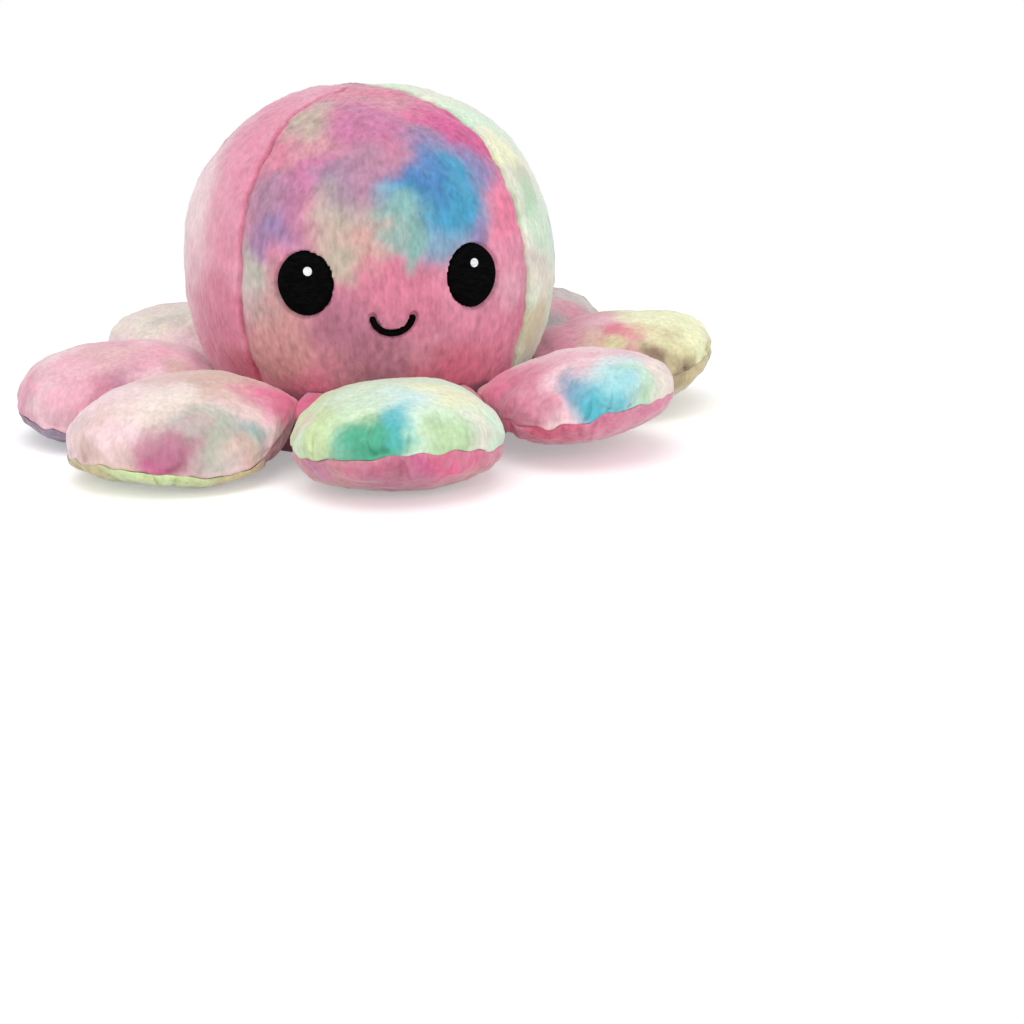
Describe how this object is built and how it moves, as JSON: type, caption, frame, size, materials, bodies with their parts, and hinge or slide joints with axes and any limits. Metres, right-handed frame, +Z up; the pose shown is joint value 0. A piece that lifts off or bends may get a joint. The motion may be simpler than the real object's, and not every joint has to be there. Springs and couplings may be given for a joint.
{
  "type": "plush octopus",
  "caption": "Reversible soft octopus toy with a domed head over a lined pocket, an embroidered face on each side of the cloth, and a ring of stuffed tentacles that lift and droop.",
  "frame": {"origin": "on the floor plane, under the middle of the head and of the ring of tentacles", "axes": "+Z up along the head; the smiling face looks along -Y; +X is to the right of someone who looks at the face"},
  "size_m": [0.2059, 0.206, 0.098],
  "materials": {
    "head_plush": "short velvety pile, dyed in soft patches of pink, mauve, blue and cream",
    "lining_plush": "short velvety pile, dyed in soft patches of magenta, purple, beige and yellow-green",
    "tentacle_top_plush": "short velvety pile, dyed in soft patches of pink, cream, cyan and orange",
    "tentacle_under_plush": "short velvety pile, dyed in soft patches of pink, yellow-green and mauve",
    "skirt_plush": "short velvety pile, dyed in soft patches of hot pink and beige",
    "dark_thread": "satin-stitched rayon thread, near black",
    "white_thread": "satin-stitched rayon thread, white",
    "polyester_filling": "matte loose polyester fibre"
  },
  "bodies": {
    "body": {"head_face_panel": "head_plush", "head_right_panel": "head_plush", "head_back_panel": "head_plush", "head_left_panel": "head_plush", "lining_face_panel": "lining_plush", "lining_right_panel": "lining_plush", "lining_back_panel": "lining_plush", "lining_left_panel": "lining_plush", "eye_left": "dark_thread", "eye_right": "dark_thread", "eye_glint_left": "white_thread", "eye_glint_right": "white_thread", "smile": "dark_thread", "grumpy_eye_left": "dark_thread", "grumpy_eye_right": "dark_thread", "grumpy_glint_left": "white_thread", "grumpy_glint_right": "white_thread", "frown": "dark_thread", "head_filling": "polyester_filling", "hem_ring": "skirt_plush", "skirt_ring": "skirt_plush"},
    "tentacle_1": {"tentacle_1_upper": "tentacle_top_plush", "tentacle_1_lower": "tentacle_under_plush", "tentacle_1_filling": "polyester_filling"},
    "tentacle_2": {"tentacle_2_upper": "tentacle_top_plush", "tentacle_2_lower": "tentacle_under_plush", "tentacle_2_filling": "polyester_filling"},
    "tentacle_3": {"tentacle_3_upper": "tentacle_top_plush", "tentacle_3_lower": "tentacle_under_plush", "tentacle_3_filling": "polyester_filling"},
    "tentacle_4": {"tentacle_4_upper": "tentacle_top_plush", "tentacle_4_lower": "tentacle_under_plush", "tentacle_4_filling": "polyester_filling"},
    "tentacle_5": {"tentacle_5_upper": "tentacle_top_plush", "tentacle_5_lower": "tentacle_under_plush", "tentacle_5_filling": "polyester_filling"},
    "tentacle_6": {"tentacle_6_upper": "tentacle_top_plush", "tentacle_6_lower": "tentacle_under_plush", "tentacle_6_filling": "polyester_filling"},
    "tentacle_7": {"tentacle_7_upper": "tentacle_top_plush", "tentacle_7_lower": "tentacle_under_plush", "tentacle_7_filling": "polyester_filling"},
    "tentacle_8": {"tentacle_8_upper": "tentacle_top_plush", "tentacle_8_lower": "tentacle_under_plush", "tentacle_8_filling": "polyester_filling"}
  },
  "joints": [
    {"name": "tentacle_1_lift", "type": "hinge", "parent": "body", "child": "tentacle_1", "pos_m": [0.05142, 0, 0.0165], "axis": [0, -1, 0], "range_deg": [-30, 30], "stiffness_Nm_per_rad": 0.004},
    {"name": "tentacle_2_lift", "type": "hinge", "parent": "body", "child": "tentacle_2", "pos_m": [0.03636, 0.03636, 0.0165], "axis": [0.7071, -0.7071, 0], "range_deg": [-30, 30], "stiffness_Nm_per_rad": 0.004},
    {"name": "tentacle_3_lift", "type": "hinge", "parent": "body", "child": "tentacle_3", "pos_m": [0.0009, 0.05141, 0.0165], "axis": [0.9998, -0.0175, 0], "range_deg": [-30, 30], "stiffness_Nm_per_rad": 0.004},
    {"name": "tentacle_4_lift", "type": "hinge", "parent": "body", "child": "tentacle_4", "pos_m": [-0.03507, 0.03761, 0.0165], "axis": [0.7314, 0.682, 0], "range_deg": [-30, 30], "stiffness_Nm_per_rad": 0.004},
    {"name": "tentacle_5_lift", "type": "hinge", "parent": "body", "child": "tentacle_5", "pos_m": [-0.05135, 0.00269, 0.0165], "axis": [0.0523, 0.9986, 0], "range_deg": [-30, 30], "stiffness_Nm_per_rad": 0.004},
    {"name": "tentacle_6_lift", "type": "hinge", "parent": "body", "child": "tentacle_6", "pos_m": [-0.03881, -0.03373, 0.0165], "axis": [-0.6561, 0.7547, 0], "range_deg": [-30, 30], "stiffness_Nm_per_rad": 0.004},
    {"name": "tentacle_7_lift", "type": "hinge", "parent": "body", "child": "tentacle_7", "pos_m": [-0.00135, -0.0514, 0.0165], "axis": [-0.9997, 0.0262, 0], "range_deg": [-30, 30], "stiffness_Nm_per_rad": 0.004},
    {"name": "tentacle_8_lift", "type": "hinge", "parent": "body", "child": "tentacle_8", "pos_m": [0.03636, -0.03636, 0.0165], "axis": [-0.7071, -0.7071, 0], "range_deg": [-30, 30], "stiffness_Nm_per_rad": 0.004}
  ]
}
